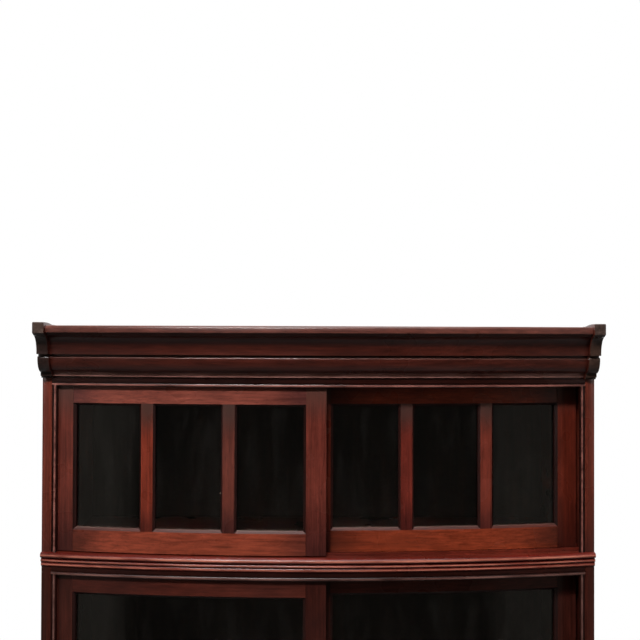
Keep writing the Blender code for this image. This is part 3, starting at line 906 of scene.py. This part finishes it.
crown_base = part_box("crown_moulding")[0].z
crown_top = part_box("crown_moulding")[1].z
ear_low, ear_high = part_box("crown_end_right")
crown_tall = crown_top - crown_base
ear_out = front_line - ear_low.y
foot_out, fillet_out, ovolo_out, nose_out = 0.0080, 0.0125, 0.0105, 0.0305
quirk_out, cove_out, fascia_lip, nose = 0.0255, 0.0355, 0.0040, 0.003
moulding_shift = -foot_out - arc_gain
fillet_foot, fillet_top, quirk_foot, cove_foot, cove_top = (
    share * crown_tall for share in (0.036, 0.105, 0.422, 0.458, 0.842)
)
fascia_foot, nose_height = crown_base + cove_top, crown_base + quirk_foot


def crown_members():
    """Front of the crown from its foot to under the fascia, as (forward, height over its foot)."""
    spring, lip = quirk_foot - nose, cove_foot + 0.002
    neck = (ear_out - fascia_lip, cove_top - 0.002)
    return (
        [(foot_out, 0.0), (foot_out, fillet_foot)]
        + [(fillet_out, fillet_foot), (fillet_out, fillet_top)]
        + round_stroke((ovolo_out, spring), (nose_out - ovolo_out, spring - fillet_top), -84, 0, 18)
        + round_stroke((nose_out - nose, spring), (nose, nose), 15, 90, 5)
        + [(quirk_out, quirk_foot), (quirk_out, cove_foot), (cove_out, cove_foot)]
        + round_stroke((neck[0], lip), (neck[0] - cove_out, neck[1] - lip), 180, 95, 22)
    )


crown_wood = polished_mahogany(
    "crown_mahogany",
    "X",
    (0.035, 0.0068, 0.0044),
    (0.072, 0.0150, 0.0092),
    crest_wear_and_highlight=(0.30, 0.140, 0.116),
    seed=7.7,
)
fascia_wood = polished_mahogany(
    "crown_fascia_dusty_mahogany",
    "X",
    (0.050, 0.0150, 0.0110),
    (0.100, 0.0290, 0.0205),
    coat=0.15,
    crest_wear_and_highlight=(0.145, 0.080, 0.070),
)
# The end boards' bodies take a dark wood, darkened further to paint the fascia's shade over their
# front edges.
crown_end_shaded_woods = {
    -1: polished_mahogany(
        "left_crown_end_mahogany_painted_shade",
        "Y",
        (0.018, 0.0095, 0.0080),
        (0.034, 0.0180, 0.0150),
        seed=2.2,
    ),
    1: polished_mahogany(
        "right_crown_end_mahogany_painted_shade",
        "Y",
        (0.030, 0.0160, 0.0115),
        (0.056, 0.0300, 0.0215),
        coat=0.2,
        seed=4.8,
    ),
}
ear_wood = polished_mahogany(
    "crown_ear_end_grain",
    "Y",
    (0.034, 0.0205, 0.0165),
    (0.058, 0.0360, 0.0290),
    coat=0.1,
    seed=5.2,
)
fascia_out = ear_out + moulding_shift
fascia_back = fascia_out - 0.0200
moulding_back = -0.0160
section = [(out + moulding_shift, crown_base + up) for out, up in crown_members()]
section += [
    (fascia_out - fascia_lip, fascia_foot + 0.0018),
    (fascia_out - 0.0006, fascia_foot + 0.0020),
    (fascia_out, fascia_foot + 0.0026),
    (fascia_out, crown_top - 0.0038),
    (fascia_out - 0.0009, crown_top - 0.0018),
    (fascia_out - 0.0032, crown_top),
    (fascia_back, crown_top),
    (fascia_back, crown_top - 0.0143),
    (0.01422, crown_base + 0.0432),
    (moulding_back, crown_base + 0.0190),
    (moulding_back, crown_base),
]
# The fillet and the foot of the ovolo are painted light where the ovolo shades them.
fillet_painted_light, ovolo_foot_painted_light = 0.94, 0.88


def crown_wear_and_light(at):
    """How much the moulding is lightened: its top arris and the nose of the ovolo most, for wear
    and painted highlight, then the fillet and the foot of the ovolo, painted light where the ovolo
    shades them.
    """
    lightening = [0, 1 - (crown_top - at.z) / 0.005]
    if forward(at) > 0.0120 and at.z < nose_height + 1e-4:
        lightening.append(1 - abs(at.z - nose_height + 0.0009) / 0.0080)
    if forward(at) - moulding_shift > 0.0110:
        if at.z < crown_base + 0.0032:
            lightening.append(fillet_painted_light)
        if at.z < crown_base + 0.0100:
            lightening.append(ovolo_foot_painted_light)
    return max(lightening)


moulding = bowed_bar(section, board_end - seam, steps=96)
mark_place(moulding, lambda at: 0.0, crown_wear_and_light)
for face in moulding.faces:
    on_fascia = face.calc_center_median().z > fascia_foot + 0.0022
    face.material_index = 1 if on_fascia else 0
hang_on(
    moulding,
    "crown_bowed_moulding",
    "case",
    [crown_wood, fascia_wood],
    ["crown_moulding"],
)

ear_top, ear_edge = ear_high.z, 0.0015
ear_back = ear_out - 0.012
end_body, ear_front, outer_face = range(3)
for side, sign in (("left", -1), ("right", 1)):
    outline = [(out, crown_base + up) for out, up in crown_members()]
    outline += [
        (ear_out - fascia_lip, fascia_foot),
        (ear_out - ear_edge, fascia_foot),
        (ear_out, fascia_foot + ear_edge),
        (ear_out, ear_top - ear_edge),
        (ear_out - ear_edge, ear_top),
        (ear_back, ear_top),
        (ear_back - 0.0175, ear_top - 0.0010),
        (ear_back - 0.035, ear_top - 0.0035),
        (ear_back - 0.070, crown_top),
        (board_back, crown_top),
        (board_back, crown_base),
    ]
    board = end_board(outline, sign * board_end, sign * half_width, arris=0.0010)
    for face in board.faces:
        face.normal_update()
        at = face.calc_center_median()
        faces_front = at.y < front_line and board_end + 1e-4 < abs(at.x) < half_width - 1e-4
        if abs(face.normal.x) > 0.7:
            face.material_index = outer_face
        elif faces_front and at.z > fascia_foot:
            face.material_index = ear_front
        else:
            face.material_index = end_body
    hang_on(
        board,
        f"crown_end_board_{side}",
        "case",
        [crown_end_shaded_woods[sign], ear_wood, case_side],
        [f"crown_end_{side}"],
    )

# ---------------------------------------------------------------- studio
# The case stands on a pale floor that fades into a white surround. A soft key lamp and a ceiling
# lamp hang high in front of it, two narrow upright lamps stand in front to its left and right, and
# three large ones light its sides and back. The room is dim and a little warm, as the glass needs.

floor_mesh = bpy.data.meshes.new("studio_floor")
bm = bmesh.new()
bmesh.ops.create_circle(bm, cap_ends=True, segments=96, radius=2.4)
bm.to_mesh(floor_mesh)
bm.free()
floor = bpy.data.objects.new("studio_floor", floor_mesh)
bpy.context.scene.collection.objects.link(floor)
floor_paint = bpy.data.materials.new("studio_floor_paint")
floor_paint.use_nodes = True
tree = floor_paint.node_tree
nodes, links = tree.nodes, tree.links
paint = nodes["Principled BSDF"]
paint.inputs["Roughness"].default_value = 0.9
place = nodes.new("ShaderNodeTexCoord")
distance = nodes.new("ShaderNodeVectorMath")
distance.operation = "LENGTH"
links.new(place.outputs["Object"], distance.inputs[0])
fade = ramp(tree, distance.outputs["Value"], 0.75, 1.7, low=0.35, smooth=True)
seen = nodes.new("ShaderNodeLightPath")
tint = nodes.new("ShaderNodeMix")
tint.data_type = "RGBA"
tint.inputs["A"].default_value = (0.12, 0.12, 0.12, 1)
tint.inputs["B"].default_value = (0.70, 0.70, 0.70, 1)
links.new(seen.outputs["Is Camera Ray"], tint.inputs["Factor"])
links.new(tint.outputs["Result"], paint.inputs["Base Color"])
white = reckon(tree, "MULTIPLY", fade, seen.outputs["Is Camera Ray"])
glow = nodes.new("ShaderNodeEmission")
mixed = nodes.new("ShaderNodeMixShader")
links.new(white, mixed.inputs["Fac"])
links.new(paint.outputs["BSDF"], mixed.inputs[1])
links.new(glow.outputs["Emission"], mixed.inputs[2])
links.new(mixed.outputs["Shader"], nodes["Material Output"].inputs["Surface"])
floor_mesh.materials.append(floor_paint)

world = bpy.data.worlds.new("studio_room")
bpy.context.scene.world = world
world.use_nodes = True
tree = world.node_tree
nodes, links = tree.nodes, tree.links
room = nodes["Background"]
direction = nodes.new("ShaderNodeTexCoord")
split = nodes.new("ShaderNodeSeparateXYZ")
links.new(direction.outputs["Generated"], split.inputs["Vector"])
left_wall = ramp(tree, split.outputs["X"], -0.46, -0.40, 0.125, 0.026)
right_wall = ramp(tree, split.outputs["X"], 0.39, 0.45, 0.0, 0.07)
ceiling = ramp(tree, split.outputs["Z"], 0.1, 1.0, 0.0, 0.30)
walls = reckon(tree, "ADD", left_wall, right_wall)
warmed = nodes.new("ShaderNodeVectorMath")
warmed.operation = "MULTIPLY"
warmed.inputs[1].default_value = (1.12, 1.0, 0.87)
links.new(reckon(tree, "ADD", walls, ceiling), warmed.inputs[0])
links.new(warmed.outputs["Vector"], room.inputs["Color"])
surround = nodes.new("ShaderNodeBackground")
surround.inputs["Color"].default_value = (1, 1, 1, 1)
behind = ramp(tree, split.outputs["Y"], 0.1, 0.5)
path = nodes.new("ShaderNodeLightPath")
glassy = reckon(
    tree, "MAXIMUM", path.outputs["Is Transmission Ray"], path.outputs["Is Glossy Ray"]
)
seen_behind = reckon(tree, "MULTIPLY", glassy, behind)
shown = reckon(tree, "MAXIMUM", path.outputs["Is Camera Ray"], seen_behind)
mixed = nodes.new("ShaderNodeMixShader")
links.new(shown, mixed.inputs["Fac"])
links.new(room.outputs["Background"], mixed.inputs[1])
links.new(surround.outputs["Background"], mixed.inputs[2])
links.new(mixed.outputs["Shader"], nodes["World Output"].inputs["Surface"])


def soft_lamp(name, at, aim, size, power, spread=180):
    light = bpy.data.lights.new(name, "AREA")
    light.shape = "RECTANGLE"
    light.size, light.size_y = size
    light.energy = power
    light.spread = radians(spread)
    lamp = bpy.data.objects.new(name, light)
    bpy.context.scene.collection.objects.link(lamp)
    lamp.location = at
    lamp.rotation_euler = (Vector(aim) - Vector(at)).to_track_quat("-Z", "Y").to_euler()


soft_lamp("key_lamp", (-0.46, -1.75, 2.98), (0, -0.1, 1.25), (0.9, 0.28), 23, spread=100)
soft_lamp("ceiling_lamp", (0, -0.75, 3.3), (0, -0.35, 0), (1.6, 0.9), 10, spread=90)
soft_lamp("left_strip_lamp", (-2.0, -1.5, 1.9), (0, 0, 1.2), (0.12, 1.2), 1.2, spread=90)
soft_lamp("right_strip_lamp", (2.0, -1.5, 1.9), (0, 0, 1.2), (0.12, 1.2), 1.1, spread=90)
soft_lamp("left_lamp", (-3.2, 0.9, 2.4), (0, 0.1, 0.8), (1.6, 1.6), 12, spread=60)
soft_lamp("right_lamp", (3.2, 0.9, 2.4), (0, 0.1, 0.8), (1.6, 1.6), 12, spread=60)
soft_lamp("back_lamp", (0.3, 3.0, 3.0), (0, 0, 0.8), (2.0, 1.2), 20, spread=60)

camera_data = bpy.data.cameras.new("camera")
camera_data.sensor_width = 36
camera_data.lens = 50.5
camera = bpy.data.objects.new("camera", camera_data)
bpy.context.scene.collection.objects.link(camera)
camera.location = (-0.0162, front_line - 1.4476, 1.5451)
pitch, yaw, roll = radians(0.703), radians(0.660), radians(0.1986)
camera.rotation_euler = (
    Matrix.Rotation(-yaw, 3, "Z")
    @ Matrix.Rotation(pi / 2 + pitch, 3, "X")
    @ Matrix.Rotation(roll, 3, "Z")
).to_euler()
bpy.context.scene.camera = camera
bpy.context.scene.view_settings.view_transform = "Standard"
